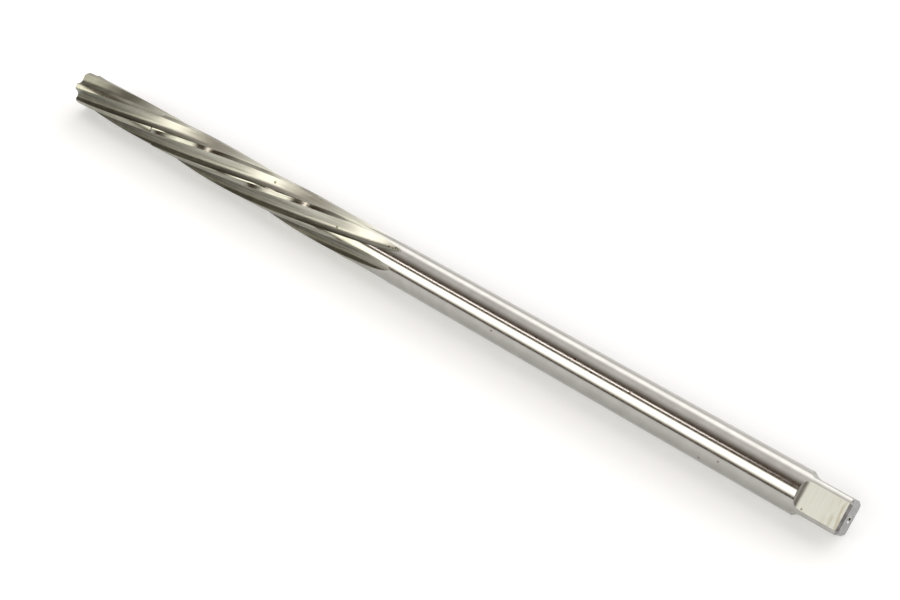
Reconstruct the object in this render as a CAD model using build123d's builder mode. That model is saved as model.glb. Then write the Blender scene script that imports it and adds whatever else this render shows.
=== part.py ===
# Valve guide reamer: one ground steel bar with a smaller fluted pilot, a fluted cutting
# length with a left-hand spiral, a plain shank and a milled drive square.
# Sizes are in millimetres and angles in degrees. The tool is drawn standing on its tip
# along +Z, and laid along +X at the end.

import os
from math import cos, degrees, radians, sin, sqrt

from build123d import *

# Turned outline
overall_length = 200.0
shank_diameter = 8.6
cutting_diameter = 8.73
pilot_diameter = 8.2
pilot_length = 26.5
tip_chamfer = 0.4
lead_taper_length = 0.6
cutting_end = 87.0
shank_blend_length = 1.0
end_chamfer = 0.5

# Spiral flutes: a radial cutting face and a flat floor that rises to the heel, with a round corner
flute_count = 6
flute_length = 98.9
flute_lead = 178.0
first_edge_angle = 42.0
floor_distance = 2.3
floor_rise = 12.0
flute_corner_radius = 1.3
flute_wheel_radius = 65.0
flute_wheel_angle = 15.0

# Relief ground behind a narrow round margin on each cutting land
margin_width = 0.25
relief_angle = 17.0
relief_end = 85.0
relief_wheel_radius = 80.0

# Drive square milled on the end of the shank
square_across_flats = 6.8
square_length = 9.1
square_corner_radius = 1.5
square_angle = 44.0

# Lathe centre in each end
centre_mouth_diameter = 1.7
centre_cone_angle = 60.0
centre_drill_diameter = 0.7
centre_depth = 2.2

# How far the cutters stand clear of the steel, the turn between two of their sections,
# and the number of sections while a wheel lifts out
clearance = 1.0
section_turn = 8.0
lift_sections = 8

shank_radius = shank_diameter / 2
cutting_radius = cutting_diameter / 2
pilot_radius = pilot_diameter / 2
outside_radius = cutting_radius + clearance
square_start = overall_length - square_length


def edge_angle(station):
    """Angle of the first cutting edge at a height above the tip. It falls, so the spiral is left-handed."""
    return first_edge_angle - 360 * station / flute_lead


def wheel_lift(station, lift_start, wheel_radius):
    """Height that a wheel's rim has risen to, past the station where it starts to leave the cut."""
    past = max(0.0, station - lift_start)
    return wheel_radius - sqrt(wheel_radius**2 - past**2)


def lift_length(depth, wheel_radius):
    """Length that a wheel of this radius takes to rise by a depth."""
    return sqrt(2 * wheel_radius * depth - depth**2)


def stations(first, lift_start, depth, wheel_radius):
    """Heights of a cutter's sections: even turns along the full cut, then closer ones in the run-out."""
    turns = round(360 * (lift_start - first) / flute_lead / section_turn)
    lift_step = lift_length(depth + clearance, wheel_radius) / lift_sections
    full_cut = [first + (lift_start - first) * i / turns for i in range(turns)]
    return full_cut + [lift_start + lift_step * i for i in range(lift_sections + 1)]


def section_plane(station, lift, lift_angle):
    """Plane across the axis whose X runs through the cutting edge, moved out by the wheel's lift."""
    edge = radians(edge_angle(station))
    away = edge + radians(lift_angle)
    return Plane(
        origin=(lift * cos(away), lift * sin(away), station),
        x_dir=(cos(edge), sin(edge), 0),
        z_dir=(0, 0, 1),
    )


# Bar turned to its outline
with BuildPart() as bar:
    with BuildSketch(Plane.XZ):
        with BuildLine():
            Polyline(
                (0, 0),
                (pilot_radius - tip_chamfer, 0),
                (pilot_radius, tip_chamfer),
                (pilot_radius, pilot_length),
                (cutting_radius, pilot_length + lead_taper_length),
                (cutting_radius, cutting_end),
                (shank_radius, cutting_end + shank_blend_length),
                (shank_radius, overall_length),
                (0, overall_length),
                close=True,
            )
        make_face()
    revolve(axis=Axis.Z)

# Height that the flute wheel rises to before its round corner leaves the shank
rise = radians(floor_rise)
corner_out = (floor_distance + flute_corner_radius * (1 + sin(rise))) / cos(rise)
corner_side = -flute_corner_radius
wheel_way = radians(-flute_wheel_angle)
corner_along = corner_out * cos(wheel_way) + corner_side * sin(wheel_way)
corner_across = corner_side * cos(wheel_way) - corner_out * sin(wheel_way)
flute_exit = sqrt((shank_radius + flute_corner_radius) ** 2 - corner_across**2) - corner_along

# Space that one flute wheel clears
flute_lift_start = flute_length - lift_length(flute_exit, flute_wheel_radius)
floor_foot = floor_distance / cos(rise)
floor_far = (floor_foot + outside_radius * sin(rise), -outside_radius * cos(rise))
with BuildPart() as flute_space:
    for station in stations(-clearance, flute_lift_start, flute_exit, flute_wheel_radius):
        lift = wheel_lift(station, flute_lift_start, flute_wheel_radius)
        with BuildSketch(section_plane(station, lift, -flute_wheel_angle)):
            with BuildLine():
                FilletPolyline(
                    (outside_radius, 0),
                    (floor_foot, 0),
                    floor_far,
                    (outside_radius, floor_far[1]),
                    radius=(0, flute_corner_radius, 0, 0),
                    close=True,
                )
            make_face()
    loft()

# Space that the relief wheel clears behind one margin, down to a flat chord of the land
margin_angle = degrees(margin_width / cutting_radius)
relief_depth = cutting_radius * (1 - cos(radians(relief_angle)))
relief_lift_start = relief_end - lift_length(relief_depth, relief_wheel_radius)
chord_end_angle = margin_angle + 2 * relief_angle


def on_ring(radius, angle):
    """Point at a radius and an angle from the cutting edge, towards the heel of the land."""
    return (radius * cos(radians(angle)), radius * sin(radians(angle)))


with BuildPart() as relief_space:
    for station in stations(pilot_length - clearance, relief_lift_start, relief_depth, relief_wheel_radius):
        lift = wheel_lift(station, relief_lift_start, relief_wheel_radius)
        with BuildSketch(section_plane(station, lift, margin_angle + relief_angle)):
            with BuildLine():
                Polyline(
                    on_ring(cutting_radius, margin_angle),
                    on_ring(cutting_radius, chord_end_angle),
                    on_ring(outside_radius, chord_end_angle),
                    on_ring(outside_radius, margin_angle),
                    close=True,
                )
            make_face()
    loft()

# Space beside one flat of the square, with the mill's corner rounding the shoulder
with BuildPart() as flat_space:
    with BuildSketch(Plane.XZ):
        with BuildLine():
            FilletPolyline(
                (square_across_flats / 2, overall_length + clearance),
                (square_across_flats / 2, square_start),
                (outside_radius, square_start),
                (outside_radius, overall_length + clearance),
                radius=(0, square_corner_radius, 0, 0),
                close=True,
            )
        make_face()
    extrude(amount=outside_radius, both=True)

# Reamer: the bar with its flutes, reliefs, square and centres cut
with BuildPart() as standing:
    add(bar.part)
    with PolarLocations(0, flute_count):
        add(flute_space.part, mode=Mode.SUBTRACT)
        add(relief_space.part, mode=Mode.SUBTRACT)
    with PolarLocations(0, 4, start_angle=square_angle):
        add(flat_space.part, mode=Mode.SUBTRACT)
    chamfer(standing.faces().sort_by(Axis.Z)[-1].edges(), length=end_chamfer)
    with Locations(Plane.XY.offset(overall_length), Plane.XY.rotated((180, 0, 0))):
        CounterSinkHole(
            radius=centre_drill_diameter / 2,
            counter_sink_radius=centre_mouth_diameter / 2,
            depth=centre_depth,
            counter_sink_angle=centre_cone_angle,
        )

# Laid along +X, resting on its cutting diameter at height zero
with BuildPart() as reamer:
    with Locations((-overall_length / 2, 0, cutting_radius)):
        add(standing.part, rotation=(0, 90, 0))

reamer.part.label = "reamer"
os.makedirs("parts", exist_ok=True)
export_step(reamer.part, "parts/reamer.step")
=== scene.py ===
from math import cos, degrees, radians, sin, sqrt, tan

import bpy
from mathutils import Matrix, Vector


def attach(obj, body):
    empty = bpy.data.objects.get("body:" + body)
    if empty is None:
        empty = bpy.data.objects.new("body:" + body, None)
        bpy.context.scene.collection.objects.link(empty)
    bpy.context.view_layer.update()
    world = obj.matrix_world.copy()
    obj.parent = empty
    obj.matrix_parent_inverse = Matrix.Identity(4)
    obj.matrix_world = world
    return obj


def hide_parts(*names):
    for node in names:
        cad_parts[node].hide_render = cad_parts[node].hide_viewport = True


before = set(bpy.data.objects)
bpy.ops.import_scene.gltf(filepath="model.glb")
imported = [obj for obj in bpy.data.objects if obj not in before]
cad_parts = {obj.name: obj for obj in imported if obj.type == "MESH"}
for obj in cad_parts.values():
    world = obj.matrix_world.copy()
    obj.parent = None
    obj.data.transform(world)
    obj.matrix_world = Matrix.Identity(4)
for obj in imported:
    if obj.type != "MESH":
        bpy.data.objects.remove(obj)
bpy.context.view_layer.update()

MM = 0.001

# Turned outline
overall_length = 200.0
shank_radius = 4.3
cutting_radius = 4.365
pilot_radius = 4.1
pilot_length = 26.5
tip_chamfer = 0.4
lead_taper_length = 0.6
cutting_end = 87.0
shank_blend_length = 1.0
end_chamfer = 0.5
bar_facets = 360

# Spiral flutes and their grinding wheel
flute_count = 6
flute_length = 98.9
flute_lead = 178.0
first_edge_clock = 48.0
floor_distance = 2.3
floor_rise = 12.0
flute_corner_radius = 1.3
flute_corner_steps = 18
flute_wheel_radius = 65.0
flute_wheel_angle = 15.0

# Relief behind the margins
margin_width = 0.25
relief_angle = 17.0
relief_end = 85.0
relief_wheel_radius = 80.0

# Drive square
square_sides = 4
square_across_flats = 6.8
square_length = 9.1
square_corner_radius = 1.5
square_corner_steps = 16
square_clock = 46.0

# Centres in the two ends
centre_mouth_radius = 0.85
centre_cone_angle = 60.0
centre_drill_radius = 0.35
centre_depth = 2.2
centre_facets = 64

# How far the cutters stand clear of the steel, and their steps along the cut and the run-out
clearance = 1.0
wheel_step = 0.7
lift_step = 0.5

# How near to a line a corner counts as on it, and a length too short for a step of its own
near = 0.01
hair = 1e-6

# Faces that meet at less than this are shaded as one round surface
smooth_angle = 8.0

tip_x = -overall_length / 2
end_x = tip_x + overall_length
axis_height = cutting_radius
outside_radius = cutting_radius + clearance


# Hand tools


def take(piece):
    """Selects one piece alone and makes it the active one."""
    bpy.ops.object.select_all(action="DESELECT")
    piece.select_set(True)
    bpy.context.view_layer.objects.active = piece


def edit(piece):
    """Edit mode on one piece, with all of it selected."""
    take(piece)
    bpy.ops.object.mode_set(mode="EDIT")
    bpy.ops.mesh.select_mode(type="VERT")
    bpy.ops.mesh.select_all(action="SELECT")


def done():
    bpy.ops.object.mode_set(mode="OBJECT")


def pick(piece, kind, wanted):
    """In edit mode, selects only the vertices, edges or faces whose corners all pass a test."""
    bpy.ops.mesh.select_mode(type=kind)
    bpy.ops.mesh.select_all(action="DESELECT")
    bpy.ops.object.mode_set(mode="OBJECT")
    mesh = piece.data
    for part in {"VERT": mesh.vertices, "EDGE": mesh.edges, "FACE": mesh.polygons}[kind]:
        corners = [part.index] if kind == "VERT" else part.vertices
        places = [mesh.vertices[i].co / MM for i in corners]
        part.select = all(wanted(*place) for place in places)
    bpy.ops.object.mode_set(mode="EDIT")


def on_axis(x):
    return (x * MM, 0, axis_height * MM)


def move(x=0.0, y=0.0, z=0.0):
    bpy.ops.transform.translate(value=(x * MM, y * MM, z * MM))


def turn(angle, x=0.0):
    """Turns what is selected about the tool's axis, towards a larger clock angle."""
    bpy.ops.transform.rotate(value=radians(angle), orient_axis="X", center_override=on_axis(x))


def extrude(x):
    bpy.ops.mesh.extrude_region_move(TRANSFORM_OT_translate={"value": (x * MM, 0, 0)})


def grow(factor, x):
    bpy.ops.transform.resize(value=(1, factor, factor), center_override=on_axis(x))


def shape_up(piece, finish):
    """Closes an edit: faces outwards, place in the mesh, and one finish all over."""
    bpy.ops.mesh.select_all(action="SELECT")
    bpy.ops.mesh.normals_make_consistent(inside=False)
    done()
    bpy.ops.object.transform_apply(location=True, rotation=True, scale=True)
    piece.data.materials.append(finish)


def cut_away(piece, cutter):
    """Takes a cutter's space out of a piece. The cut faces keep the cutter's finish."""
    take(piece)
    bpy.ops.object.modifier_add(type="BOOLEAN")
    bite = piece.modifiers[-1]
    bite.operation = "DIFFERENCE"
    bite.object = cutter
    bite.solver = "EXACT"
    bite.material_mode = "TRANSFER"
    bpy.ops.object.modifier_apply(modifier=bite.name)


def cut_round(piece, cutter, count):
    """The same cut all round the tool, with the cutter indexed between the cuts."""
    for _ in range(count):
        cut_away(piece, cutter)
        edit(cutter)
        turn(360 / count)
        done()
    bpy.data.objects.remove(cutter)


def turned(name, outline, facets, finish):
    """A round solid about the axis from its outline of (x, radius) points."""
    (x, radius), rest = outline[0], outline[1:]
    bpy.ops.mesh.primitive_circle_add(
        vertices=facets,
        radius=radius * MM,
        fill_type="NGON",
        location=on_axis(x),
        rotation=(0, radians(90), 0),
    )
    piece = bpy.context.object
    piece.name = name
    bpy.ops.object.transform_apply(location=True, rotation=True, scale=True)
    edit(piece)
    for next_x, next_radius in rest:
        extrude(next_x - x)
        grow(next_radius / radius, next_x)
        x, radius = next_x, next_radius
    shape_up(piece, finish)
    return piece


def slab_section(name, x, side_low, side_high, bottom, top):
    """A flat rectangle across the axis, in edit mode. Bottom and top are heights above the axis."""
    side = (side_low + side_high) / 2
    height = axis_height + (bottom + top) / 2
    middle = (x * MM, side * MM, height * MM)
    bpy.ops.mesh.primitive_plane_add(size=MM, location=middle, rotation=(0, radians(90), 0))
    piece = bpy.context.object
    piece.name = name
    bpy.ops.object.transform_apply(location=True, rotation=True, scale=True)
    edit(piece)
    bpy.ops.transform.resize(
        value=(1, side_high - side_low, top - bottom),
        center_override=middle,
    )
    return piece


# Cutters


def edge_clock(x):
    """Clock angle of the first cutting edge. It grows along the tool: the spiral is left-handed."""
    return first_edge_clock + 360 * (x - tip_x) / flute_lead


def wheel_lift(past, wheel_radius):
    """Height that a wheel's rim has risen to, a length past the place where it starts to leave."""
    past = max(0.0, past)
    return wheel_radius - sqrt(wheel_radius**2 - past**2)


def lift_length(depth, wheel_radius):
    """Length that a wheel of this radius takes to rise by a depth."""
    return sqrt(2 * wheel_radius * depth - depth**2)


def grind_along(first, lift_start, depth, wheel_radius, lift_side):
    """Carries the section in hand along the spiral, and lifts it out on the wheel's radius.
    lift_side is the clock angle from the edge to the way the wheel leaves."""
    turn(edge_clock(first) - 90, first)
    last = lift_start + lift_length(depth + clearance, wheel_radius)
    x, lift = first, 0.0
    while x < last - hair:
        at_depth = x < lift_start - hair
        step, stop = (wheel_step, lift_start) if at_depth else (lift_step, last)
        next_x = min(x + step, stop)
        next_lift = wheel_lift(next_x - lift_start, wheel_radius)
        extrude(next_x - x)
        turn(edge_clock(next_x) - edge_clock(x), next_x)
        away = radians(edge_clock(next_x) + lift_side)
        rise = next_lift - lift
        move(0, -rise * cos(away), rise * sin(away))
        x, lift = next_x, next_lift


def flute_exit():
    """Height that the flute wheel rises to before its round corner leaves the shank."""
    rise, way = radians(floor_rise), radians(flute_wheel_angle)
    corner_out = (floor_distance + flute_corner_radius * (1 + sin(rise))) / cos(rise)
    along = corner_out * cos(way) + flute_corner_radius * sin(way)
    across = corner_out * sin(way) - flute_corner_radius * cos(way)
    return sqrt((shank_radius + flute_corner_radius) ** 2 - across**2) - along


def flute_lift_start():
    """Place along the tool where the flute wheel starts to leave the cut."""
    return tip_x + flute_length - lift_length(flute_exit(), flute_wheel_radius)


def flute_wheel(finish):
    """Space of one flute: a radial cutting face, a round corner and a floor that rises to the
    heel."""
    rise = radians(floor_rise)
    floor_foot = floor_distance / cos(rise)
    first = tip_x - clearance
    piece = slab_section("flute_wheel", first, 0, outside_radius, floor_foot, outside_radius)
    foot = axis_height + floor_foot
    pick(piece, "VERT", lambda x, y, z: y > clearance and z < foot + near)
    move(0, -outside_radius * (1 - cos(rise)), outside_radius * sin(rise))
    pick(piece, "VERT", lambda x, y, z: abs(y) < near and z < foot + near)
    inside_angle = radians(90 - floor_rise)
    bpy.ops.mesh.bevel(
        affect="VERTICES",
        offset=flute_corner_radius / tan(inside_angle / 2) * MM,
        segments=flute_corner_steps,
    )
    bpy.ops.mesh.select_all(action="SELECT")
    grind_along(first, flute_lift_start(), flute_exit(), flute_wheel_radius, flute_wheel_angle)
    shape_up(piece, finish)
    return piece


def relief_wheel(finish):
    """Space behind one margin, down to a flat chord of the land."""
    margin_angle = degrees(margin_width / cutting_radius)
    half_chord = cutting_radius * sin(radians(relief_angle))
    chord = cutting_radius * cos(radians(relief_angle))
    first = tip_x + pilot_length - clearance
    piece = slab_section("relief_wheel", first, -half_chord, half_chord, chord, outside_radius)
    middle = -(margin_angle + relief_angle)
    turn(middle, first)
    depth = cutting_radius - chord
    lift_start = tip_x + relief_end - lift_length(depth, relief_wheel_radius)
    grind_along(first, lift_start, depth, relief_wheel_radius, middle)
    shape_up(piece, finish)
    return piece


def square_mill(finish):
    """Space beside one flat of the square, with the mill's round corner and the end's chamfer."""
    first = end_x - square_length
    flat, wide = square_across_flats / 2, outside_radius
    piece = slab_section("square_mill", first, -wide, wide, flat, wide)
    foot = axis_height + flat
    extrude(square_length - end_chamfer)
    extrude(end_chamfer)
    pick(piece, "VERT", lambda x, y, z: abs(x - end_x) < near and abs(z - foot) < near)
    move(0, 0, -end_chamfer)
    pick(piece, "FACE", lambda x, y, z: abs(x - end_x) < near)
    extrude(clearance)
    pick(piece, "EDGE", lambda x, y, z: abs(x - first) < near and abs(z - foot) < near)
    bpy.ops.mesh.bevel(offset=square_corner_radius * MM, segments=square_corner_steps)
    bpy.ops.mesh.select_all(action="SELECT")
    turn(square_clock - 90)
    shape_up(piece, finish)
    return piece


def centre_drill(end, way, finish):
    """Lathe centre: a short drilled hole under a cone. way is 1 at the tip and -1 at the square."""
    slope = tan(radians(centre_cone_angle / 2))
    cone_depth = (centre_mouth_radius - centre_drill_radius) / slope
    outline = [
        (end - way * clearance, centre_mouth_radius + clearance * slope),
        (end + way * cone_depth, centre_drill_radius),
        (end + way * centre_depth, centre_drill_radius),
    ]
    return turned("centre_drill", outline, centre_facets, finish)


# Finishes

# Where one look fades into the next along the tool
pilot_fade = (tip_x + pilot_length - 0.2, tip_x + pilot_length)
shank_fade = (-14, -4)
dull_flute_fade = (-85, -74)
bright_flute_fade = (-52, -32)
stain_fade = (96, 98.6)

# Where the painted shade in a flute's corner and cutting face fades into its floor, across from the
# cutting face
corner_shade_fade = (0.82, 2.15)

# Ragged edge of a mark: waves per metre, its share of the mark's radius, and where it fades
ragged_waves = 3000
ragged_share = 0.9
ragged_fade = (1.55, 1.15)

# Small dark marks: x, y, z and radius of each
bar_marks = [
    (-3.88, -0.49, 8.64, 0.25),
    (-1.53, -0.49, 8.64, 0.25),
    (25.4, -4.12, 5.59, 0.2),
    (43.67, -2.13, 8.10, 0.25),
    (47.88, -2.72, 7.69, 0.2),
    (56.23, -2.54, 7.83, 0.25),
    (76.45, -4.18, 5.36, 0.2),
    (72.69, -4.25, 3.74, 0.22),
]
flute_marks = [
    (-37.2, 0.04, 7.78, 0.3),
    (-17.61, -1.53, 6.83, 0.3),
    (-1.9, -0.34, 8.47, 0.2),
    (-2.6, -0.1, 8.42, 0.26),
    (-3.1, -0.4, 8.2, 0.18),
    (-4.2, -0.34, 8.1, 0.24),
]
square_marks = [
    (92.94, -4.03, 5.2, 0.22),
]

# Painted shade: a dark line across one land, at the step behind the pilot, standing in for the
# shadow of the lead taper
painted_step_shade_spots = [
    (-73.22, -3.02, 7.29, 0.27),
    (-73.25, -3.21, 7.07, 0.27),
    (-73.27, -3.39, 6.84, 0.27),
    (-73.31, -3.56, 6.59, 0.27),
    (-73.36, -3.69, 6.36, 0.27),
]
step_shade = (0.03, 0.028, 0.025)


def worked(tree, operation, *values):
    """A sum, product or the like of sockets and plain numbers."""
    node = tree.nodes.new("ShaderNodeMath")
    node.operation = operation
    for count, value in enumerate(values):
        if isinstance(value, (int, float)):
            node.inputs[count].default_value = value
        else:
            tree.links.new(value, node.inputs[count])
    return node.outputs[0]


def spread_out(tree, source, low, high, to_low=0.0, to_high=1.0, way="LINEAR"):
    """A value drawn out from one range to another, and held at its ends."""
    between = tree.nodes.new("ShaderNodeMapRange")
    between.interpolation_type = way
    tree.links.new(source, between.inputs["Value"])
    between.inputs["From Min"].default_value = low
    between.inputs["From Max"].default_value = high
    between.inputs["To Min"].default_value = to_low
    between.inputs["To Max"].default_value = to_high
    return between.outputs["Result"]


def contrast(tree, noise, edge, to_low=0.0, to_high=1.0):
    """Noise drawn out between two values, from a band that ends this far from 0 and from 1."""
    return spread_out(tree, noise, edge, 1 - edge, to_low, to_high)


def noise_on(tree, vector, detail):
    noise = tree.nodes.new("ShaderNodeTexNoise")
    tree.links.new(vector, noise.inputs["Vector"])
    noise.inputs["Scale"].default_value = 1
    noise.inputs["Detail"].default_value = detail
    return noise.outputs["Fac"]


def on_tool(tree):
    """Place on the tool."""
    return tree.nodes.new("ShaderNodeTexCoord").outputs["Object"]


def grain(tree, along, across, detail):
    """Noise with its waves per metre along and across the tool."""
    mapping = tree.nodes.new("ShaderNodeMapping")
    tree.links.new(on_tool(tree), mapping.inputs["Vector"])
    mapping.inputs["Scale"].default_value = (along, across, across)
    return noise_on(tree, mapping.outputs["Vector"], detail)


def tint(tree, amount, one, other):
    """Colour between two shades."""
    mix = tree.nodes.new("ShaderNodeMix")
    mix.data_type = "RGBA"
    tree.links.new(amount, mix.inputs["Factor"])
    for socket, shade in (("A", one), ("B", other)):
        if isinstance(shade, tuple):
            mix.inputs[socket].default_value = (*shade, 1)
        else:
            tree.links.new(shade, mix.inputs[socket])
    return mix.outputs["Result"]


def spots(tree, marks):
    """Small ragged spots on the tool, for real marks and for painted shade: 1 inside a spot, 0
    outside.
    """
    where = on_tool(tree)
    ragged = worked(tree, "MULTIPLY", grain(tree, ragged_waves, ragged_waves, 3), ragged_share)
    found = None
    for x, y, z, radius in marks:
        reach = tree.nodes.new("ShaderNodeVectorMath")
        reach.operation = "DISTANCE"
        tree.links.new(where, reach.inputs[0])
        reach.inputs[1].default_value = (x * MM, y * MM, z * MM)
        radii = worked(tree, "DIVIDE", reach.outputs["Value"], radius * MM)
        mark = spread_out(tree, worked(tree, "ADD", radii, ragged), *ragged_fade)
        found = mark if found is None else worked(tree, "MAXIMUM", found, mark)
    return found


def along_tool(tree, low, high):
    """0 before one distance along the tool, 1 after another."""
    parts = tree.nodes.new("ShaderNodeSeparateXYZ")
    tree.links.new(on_tool(tree), parts.inputs[0])
    return spread_out(tree, parts.outputs["X"], low * MM, high * MM)


def in_flute(tree):
    """Place in the section of a flute, which keeps to the spiral and rises with the wheel: how far
    along the tool, across from the cutting face towards the heel, and out from the axis. The last
    two run along the floor and square to it."""
    parts = tree.nodes.new("ShaderNodeSeparateXYZ")
    tree.links.new(on_tool(tree), parts.inputs[0])
    x, front = parts.outputs["X"], worked(tree, "MULTIPLY", parts.outputs["Y"], -1)
    up = worked(tree, "SUBTRACT", parts.outputs["Z"], axis_height * MM)
    square = worked(tree, "MULTIPLY_ADD", up, up, worked(tree, "POWER", front, 2))
    radius = worked(tree, "SQRT", square)
    per_metre = radians(360) / (flute_lead * MM)
    edge = worked(tree, "MULTIPLY_ADD", x, per_metre, radians(edge_clock(0)))
    behind = worked(tree, "SUBTRACT", worked(tree, "ARCTAN2", up, front), edge)
    # The slack keeps a place just ahead of an edge with the flute of that edge
    pitch, slack = radians(360 / flute_count), radians(3)
    behind = worked(tree, "FLOORED_MODULO", worked(tree, "ADD", behind, slack), pitch)
    tilted = worked(tree, "ADD", behind, radians(floor_rise) - slack)
    across = worked(tree, "MULTIPLY", radius, worked(tree, "SINE", tilted))
    out = worked(tree, "MULTIPLY", radius, worked(tree, "COSINE", tilted))
    past = worked(tree, "MAXIMUM", worked(tree, "SUBTRACT", x, flute_lift_start() * MM), 0)
    lift = worked(tree, "DIVIDE", worked(tree, "POWER", past, 2), 2 * flute_wheel_radius * MM)
    aside = sin(radians(flute_wheel_angle + floor_rise))
    return x, worked(tree, "MULTIPLY_ADD", lift, -aside, across), out


def wheel_lines(tree, place, along, across):
    """Noise drawn out along a flute, with its waves per metre along and across it."""
    x, side, out = place
    section = tree.nodes.new("ShaderNodeCombineXYZ")
    tree.links.new(worked(tree, "MULTIPLY", x, along), section.inputs["X"])
    tree.links.new(worked(tree, "MULTIPLY", side, across), section.inputs["Y"])
    tree.links.new(worked(tree, "MULTIPLY", out, across), section.inputs["Z"])
    return noise_on(tree, section.outputs[0], 4)


def new_finish(name):
    """A bare metal: returns the material and its tree."""
    finish = bpy.data.materials.new(name)
    finish.use_nodes = True
    finish.node_tree.nodes["Principled BSDF"].inputs["Metallic"].default_value = 1
    return finish, finish.node_tree


def lay_on(tree, colour, roughness, height, depth):
    """Gives a metal its colour, its roughness and a bump of a depth."""
    metal = tree.nodes["Principled BSDF"]
    tree.links.new(colour, metal.inputs["Base Color"])
    if isinstance(roughness, float):
        metal.inputs["Roughness"].default_value = roughness
    else:
        tree.links.new(roughness, metal.inputs["Roughness"])
    bump = tree.nodes.new("ShaderNodeBump")
    bump.inputs["Strength"].default_value = 1
    bump.inputs["Distance"].default_value = depth * MM
    tree.links.new(height, bump.inputs["Height"])
    tree.links.new(bump.outputs["Normal"], metal.inputs["Normal"])


def polished_steel():
    """Ground round and polished: rings round the bar, straw lands, a duller pilot, dark nicks, and
    a line of painted shade at the step behind the pilot.
    """
    finish, tree = new_finish("polished_steel")
    patches = contrast(tree, grain(tree, 420, 420, 6), 0.35)
    shank = tint(tree, patches, (0.395, 0.39, 0.365), (0.44, 0.435, 0.41))
    lands = tint(tree, patches, (0.33, 0.325, 0.26), (0.38, 0.375, 0.31))
    pilot = tint(tree, patches, (0.265, 0.26, 0.205), (0.32, 0.315, 0.26))
    past_pilot = along_tool(tree, *pilot_fade)
    colour = tint(tree, along_tool(tree, *shank_fade), lands, shank)
    colour = tint(tree, past_pilot, pilot, colour)
    colour = tint(tree, spots(tree, bar_marks), colour, (0.15, 0.1, 0.08))
    # Painted shade: the dark line at the step behind the pilot
    colour = tint(tree, spots(tree, painted_step_shade_spots), colour, step_shade)
    rings = grain(tree, 4500, 70, 2)
    waves = grain(tree, 520, 40, 3)
    dull = spread_out(tree, past_pilot, 0, 1, 0.09, 0)
    roughness = worked(tree, "ADD", contrast(tree, rings, 0.3, 0.11, 0.17), dull)
    height = worked(tree, "ADD", worked(tree, "MULTIPLY", rings, 0.3), waves)
    height = worked(tree, "MULTIPLY", height, spread_out(tree, past_pilot, 0, 1, 0.2, 1))
    lay_on(tree, colour, roughness, height, 0.0022)
    return finish


def relieved_steel():
    """The flats ground behind the margins: darker than the lands, with fine lines along them, and
    painted shade at the step behind the pilot.
    """
    finish, tree = new_finish("relieved_steel")
    lines = wheel_lines(tree, in_flute(tree), 260, 5200)
    streaks = contrast(tree, lines, 0.35)
    colour = tint(tree, streaks, (0.2, 0.195, 0.155), (0.35, 0.345, 0.3))
    # Painted shade: the dark line at the step behind the pilot
    colour = tint(tree, spots(tree, painted_step_shade_spots), colour, step_shade)
    lay_on(tree, colour, contrast(tree, lines, 0.3, 0.1, 0.17), lines, 0.0015)
    return finish


def flute_steel():
    """Flutes: painted shade on the corner and cutting face, a floor that is darker at the tip and
    lighter towards the shank, and lines that run along the spiral."""
    finish, tree = new_finish("flute_steel")
    place = in_flute(tree)
    patches = contrast(tree, grain(tree, 260, 260, 4), 0.35)
    lines = wheel_lines(tree, place, 120, 3600)
    streaks = contrast(tree, lines, 0.35)
    # Painted shade: the corner and cutting face are darkened as shade falls in the flute's hollow
    face = tint(tree, patches, (0.075, 0.072, 0.055), (0.11, 0.105, 0.082))
    dull = tint(tree, patches, (0.2, 0.2, 0.16), (0.27, 0.27, 0.22))
    middle = tint(tree, streaks, (0.42, 0.417, 0.352), (0.54, 0.537, 0.466))
    bright = tint(tree, streaks, (0.51, 0.507, 0.435), (0.64, 0.637, 0.56))
    floor = tint(tree, along_tool(tree, *bright_flute_fade), middle, bright)
    floor = tint(tree, along_tool(tree, *dull_flute_fade), dull, floor)
    floor = tint(tree, spots(tree, flute_marks), floor, (0.16, 0.15, 0.09))
    # The painted shade fades out across the corner into the floor
    to_floor = spread_out(tree, place[1], *(edge * MM for edge in corner_shade_fade))
    colour = tint(tree, to_floor, face, floor)
    lay_on(tree, colour, contrast(tree, lines, 0.3, 0.34, 0.46), lines, 0.003)
    return finish


def milled_steel():
    """The square as milled: fine lines across the tool, pale, with brown streaks near its end."""
    finish, tree = new_finish("milled_steel")
    lines = grain(tree, 3200, 160, 3)
    clean = tint(tree, contrast(tree, lines, 0.3), (0.35, 0.355, 0.32), (0.43, 0.435, 0.4))
    streaks = spread_out(tree, grain(tree, 1500, 260, 4), 0.5, 0.62)
    stained = worked(tree, "MULTIPLY", streaks, along_tool(tree, *stain_fade))
    colour = tint(tree, worked(tree, "MULTIPLY", stained, 0.5), clean, (0.24, 0.205, 0.14))
    colour = tint(tree, spots(tree, square_marks), colour, (0.17, 0.14, 0.1))
    lay_on(tree, colour, contrast(tree, lines, 0.3, 0.34, 0.44), lines, 0.005)
    return finish


def centre_steel():
    """The cones and drilled holes of the centres, smooth from the drill."""
    finish, tree = new_finish("centre_steel")
    rings = grain(tree, 3000, 300, 2)
    lay_on(tree, tint(tree, rings, (0.4, 0.39, 0.38), (0.58, 0.57, 0.56)), 0.16, rings, 0.002)
    return finish


def faced_steel():
    """The turned end faces and the chamfer round the end of the square."""
    finish, tree = new_finish("faced_steel")
    patches = grain(tree, 1300, 1300, 5)
    colour = tint(tree, contrast(tree, patches, 0.38), (0.19, 0.185, 0.185), (0.33, 0.325, 0.325))
    lay_on(tree, colour, 0.33, patches, 0.006)
    return finish


# The reamer


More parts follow.
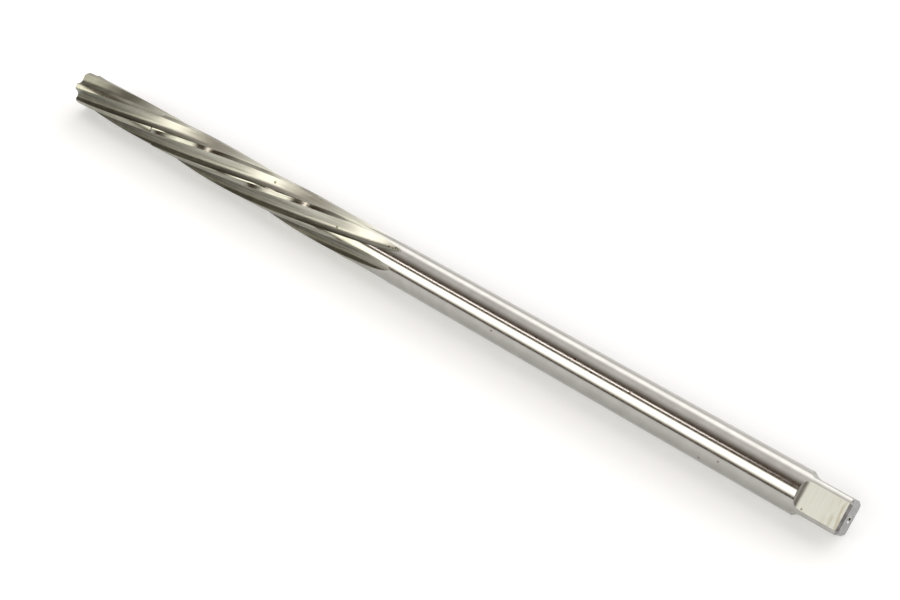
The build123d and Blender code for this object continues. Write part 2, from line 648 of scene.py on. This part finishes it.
def make_reamer():
    bar_finish = polished_steel()
    flute_finish = flute_steel()
    relief_finish = relieved_steel()
    square_finish = milled_steel()
    end_finish = faced_steel()
    drilled_finish = centre_steel()
    outline = [
        (tip_x, pilot_radius - tip_chamfer),
        (tip_x + tip_chamfer, pilot_radius),
        (tip_x + pilot_length, pilot_radius),
        (tip_x + pilot_length + lead_taper_length, cutting_radius),
        (tip_x + cutting_end, cutting_radius),
        (tip_x + cutting_end + shank_blend_length, shank_radius),
        (end_x - end_chamfer, shank_radius),
        (end_x, shank_radius - end_chamfer),
    ]
    reamer = turned("reamer_steel", outline, bar_facets, bar_finish)
    cut_round(reamer, flute_wheel(flute_finish), flute_count)
    cut_round(reamer, relief_wheel(relief_finish), flute_count)
    cut_round(reamer, square_mill(square_finish), square_sides)
    reamer.data.materials.append(end_finish)
    edit(reamer)
    pick(reamer, "FACE", lambda x, y, z: x > end_x - end_chamfer - near or x < tip_x + near)
    reamer.active_material_index = len(reamer.data.materials) - 1
    bpy.ops.object.material_slot_assign()
    done()
    for end, way in ((end_x, -1), (tip_x, 1)):
        drill = centre_drill(end, way, drilled_finish)
        cut_away(reamer, drill)
        bpy.data.objects.remove(drill)
    take(reamer)
    bpy.ops.object.shade_smooth_by_angle(angle=radians(smooth_angle))
    return reamer


reamer = make_reamer()
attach(reamer, "root")
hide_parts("reamer")


# Floor, room light and camera

floor_size = 12
floor_colour = (0.85, 0.865, 0.88)
floor_lift = 0.23

# Each panel: clock angle and blur of its lower edge, the same of its upper edge, the ways along
# the tool between which it lies and their blur, its brightness, where 1 shows as white, and its
# colour. The first is the dark room itself, and the last two are the walls beyond the ends.
panels = (
    (-20, 2, 200, 2, -2, 2, 0.1, 1.0, (0.13, 0.09, 0.065)),
    (16.5, 20, 47.3, 7, -0.86, 0.4, 0.06, 3.0, (1, 0.99, 0.94)),
    (60.2, 2.4, 64, 2.4, -0.62, -0.285, 0.06, 5.0, (1, 0.93, 0.91)),
    (90, 40, 200, 2, -0.86, 2, 0.06, 0.8, (1, 1, 1)),
    (90, 40, 200, 2, -0.45, 2, 0.3, 0.15, (1, 1, 1)),
    (133, 20, 158, 20, -0.64, 2, 0.06, 1.35, (1, 1, 1)),
    (25, 40, 155, 40, -2, -0.92, 0.04, 1.0, (1, 1, 1)),
    (25, 40, 155, 40, 0.94, 2, 0.03, 0.9, (1, 1, 1)),
)

camera_place = Vector((150.4, -163.5, 191.7 + axis_height)) * MM
camera_azimuth = radians(40.33)
camera_height = radians(42.05)
camera_lens = 58.13
film_width = 36
nearest_seen = 0.01
farthest_seen = 20


def pale_floor():
    """The floor, with a little light of its own in what the camera sees and the steel mirrors."""
    bpy.ops.mesh.primitive_plane_add(size=floor_size)
    floor = bpy.context.object
    floor.name = "floor"
    paint = bpy.data.materials.new("pale_floor")
    paint.use_nodes = True
    tree = paint.node_tree
    coat = tree.nodes["Principled BSDF"]
    coat.inputs["Base Color"].default_value = (*floor_colour, 1)
    coat.inputs["Roughness"].default_value = 0.9
    coat.inputs["Specular IOR Level"].default_value = 0
    coat.inputs["Emission Color"].default_value = (1, 1, 1, 1)
    rays = tree.nodes.new("ShaderNodeLightPath")
    seen = worked(tree, "ADD", rays.outputs["Is Camera Ray"], rays.outputs["Is Glossy Ray"])
    seen = worked(tree, "ADD", seen, rays.outputs["Is Transmission Ray"])
    tree.links.new(worked(tree, "MULTIPLY", seen, floor_lift), coat.inputs["Emission Strength"])
    floor.data.materials.append(paint)


def soft_edge(tree, source, edge, blur):
    """0 below an edge and 1 above it, or the other way round where the blur is negative."""
    return spread_out(tree, source, edge - blur / 2, edge + blur / 2, way="SMOOTHSTEP")


def studio_room():
    """Soft panels round the tool, in a dark brown room."""
    room = bpy.data.worlds.new("studio")
    bpy.context.scene.world = room
    room.use_nodes = True
    tree = room.node_tree
    place = tree.nodes.new("ShaderNodeTexCoord")
    way = tree.nodes.new("ShaderNodeSeparateXYZ")
    tree.links.new(place.outputs["Generated"], way.inputs[0])
    side = way.outputs["X"]
    front = worked(tree, "MULTIPLY", way.outputs["Y"], -1)
    clock = worked(tree, "ARCTAN2", way.outputs["Z"], front)
    clock = worked(tree, "MULTIPLY", clock, degrees(1))
    light = None
    for low, low_blur, high, high_blur, first_x, last_x, end_blur, level, colour in panels:
        rise = soft_edge(tree, clock, low, low_blur)
        fall = soft_edge(tree, clock, high, -high_blur)
        start = soft_edge(tree, side, first_x, end_blur)
        end = soft_edge(tree, side, last_x, -end_blur)
        across = worked(tree, "MULTIPLY", rise, fall)
        along = worked(tree, "MULTIPLY", start, end)
        glow = tree.nodes.new("ShaderNodeVectorMath")
        glow.operation = "SCALE"
        glow.inputs[0].default_value = [level * part for part in colour]
        tree.links.new(worked(tree, "MULTIPLY", across, along), glow.inputs["Scale"])
        if light is None:
            light = glow.outputs[0]
            continue
        both = tree.nodes.new("ShaderNodeVectorMath")
        both.operation = "ADD"
        tree.links.new(light, both.inputs[0])
        tree.links.new(glow.outputs[0], both.inputs[1])
        light = both.outputs[0]
    tree.links.new(light, tree.nodes["Background"].inputs["Color"])
    tree.nodes["Background"].inputs["Strength"].default_value = 1


def photo_camera():
    """The camera at the photo's angle."""
    look_back = Vector(
        (
            sin(camera_azimuth) * cos(camera_height),
            -cos(camera_azimuth) * cos(camera_height),
            sin(camera_height),
        )
    )
    bpy.ops.object.camera_add(location=camera_place)
    camera = bpy.context.object
    camera.rotation_mode = "QUATERNION"
    camera.rotation_quaternion = (-look_back).to_track_quat("-Z", "Y")
    camera.data.lens = camera_lens
    camera.data.sensor_width = film_width
    camera.data.clip_start = nearest_seen
    camera.data.clip_end = farthest_seen
    bpy.context.scene.camera = camera


pale_floor()
studio_room()
photo_camera()
bpy.context.scene.view_settings.view_transform = "Standard"
